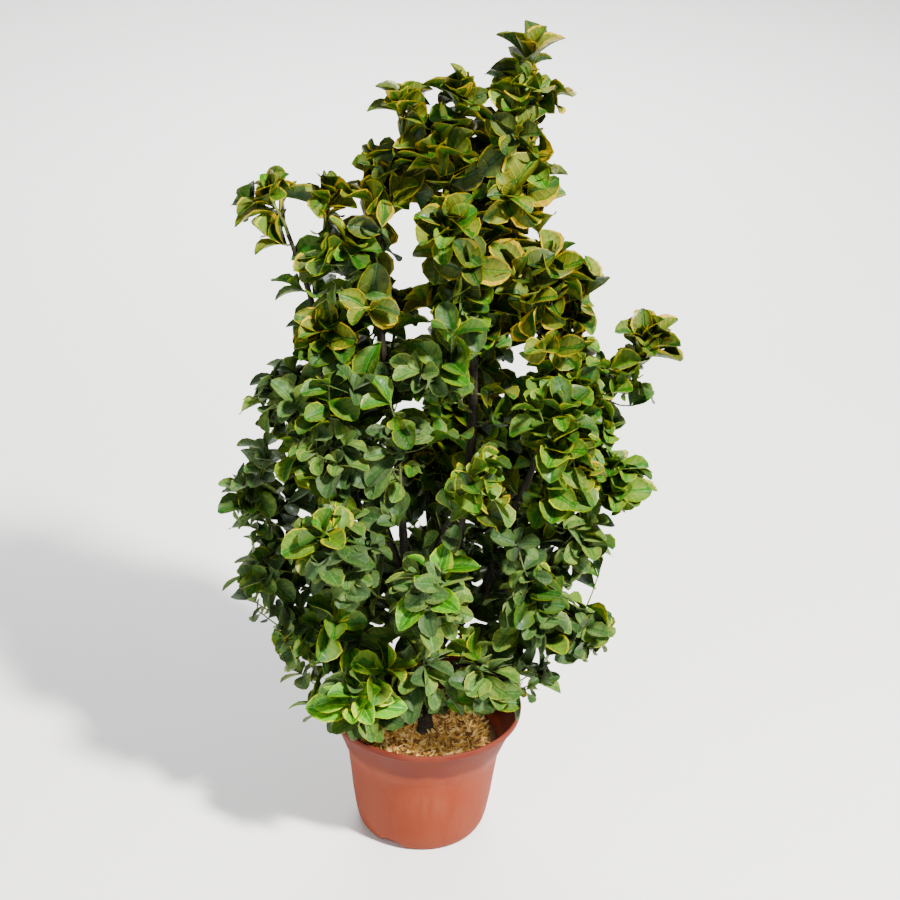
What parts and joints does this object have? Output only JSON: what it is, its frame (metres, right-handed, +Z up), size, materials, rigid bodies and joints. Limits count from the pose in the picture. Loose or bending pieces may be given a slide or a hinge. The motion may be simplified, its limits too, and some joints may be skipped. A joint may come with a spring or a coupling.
{
  "type": "potted shrub",
  "caption": "Potted evergreen shrub: a leafy, gold-edged crown on forking stems, rooted in wood-chip mulch in a round tapered nursery pot with a flared collar.",
  "frame": {"origin": "centre of the pot's flat underside", "axes": "+Z up from the ground through the pot, -Y towards the side seen in the picture, +X to the viewer's right"},
  "size_m": [0.6597, 0.4712, 1.2633],
  "materials": {
    "pot": "worn matte terracotta colour",
    "mulch": "dry golden-brown chips",
    "bark": "rough grey-brown bark, greener on the young twigs",
    "foliage": "satin green leaves with yellow-green edges"
  },
  "bodies": {
    "root": {"pot": "pot", "mulch": "mulch", "trunk": "bark", "stem_left": "bark", "stem_far_left": "bark", "stem_right": "bark", "stem_back": "bark", "stem_back_left": "bark", "stem_back_right": "bark", "stem_front": "bark", "bough_low_right": "bark", "bough_right_flank": "bark", "bough_right_sprig": "bark", "bough_low_left": "bark", "bough_left_low": "bark", "bough_top": "bark", "leaves_top_leader": "foliage", "leaves_top_right": "foliage", "leaves_top_middle": "foliage", "leaves_top_left_spire": "foliage", "leaves_upper_inner": "foliage", "leaves_upper_left": "foliage", "leaves_upper_front": "foliage", "leaves_sprig_far_left": "foliage", "leaves_sprig_left": "foliage", "leaves_shoulder_left": "foliage", "leaves_left_upper": "foliage", "leaves_shoulder_right": "foliage", "leaves_right_upper": "foliage", "leaves_inner_spire": "foliage", "leaves_inner_upper": "foliage", "leaves_inner_middle": "foliage", "leaves_right_middle": "foliage", "leaves_sprig_right": "foliage", "leaves_right_far": "foliage", "leaves_right_inner": "foliage", "leaves_left_middle": "foliage", "leaves_left_inner": "foliage", "leaves_left_far": "foliage", "leaves_centre_left": "foliage", "leaves_centre_front": "foliage", "leaves_left_low": "foliage", "leaves_left_front": "foliage", "leaves_front_low": "foliage", "leaves_foot_left": "foliage", "leaves_foot_lime": "foliage", "leaves_foot_centre": "foliage", "leaves_foot_right": "foliage", "leaves_right_low": "foliage", "leaves_right_lower": "foliage", "leaves_right_flank": "foliage", "leaves_back_foot": "foliage", "leaves_back_foot_left": "foliage", "leaves_back_foot_right": "foliage", "leaves_back_left": "foliage", "leaves_back_middle": "foliage", "leaves_back_right": "foliage", "leaves_back_left_upper": "foliage", "leaves_back_upper": "foliage", "leaves_back_shoulder": "foliage"}
  },
  "joints": []
}
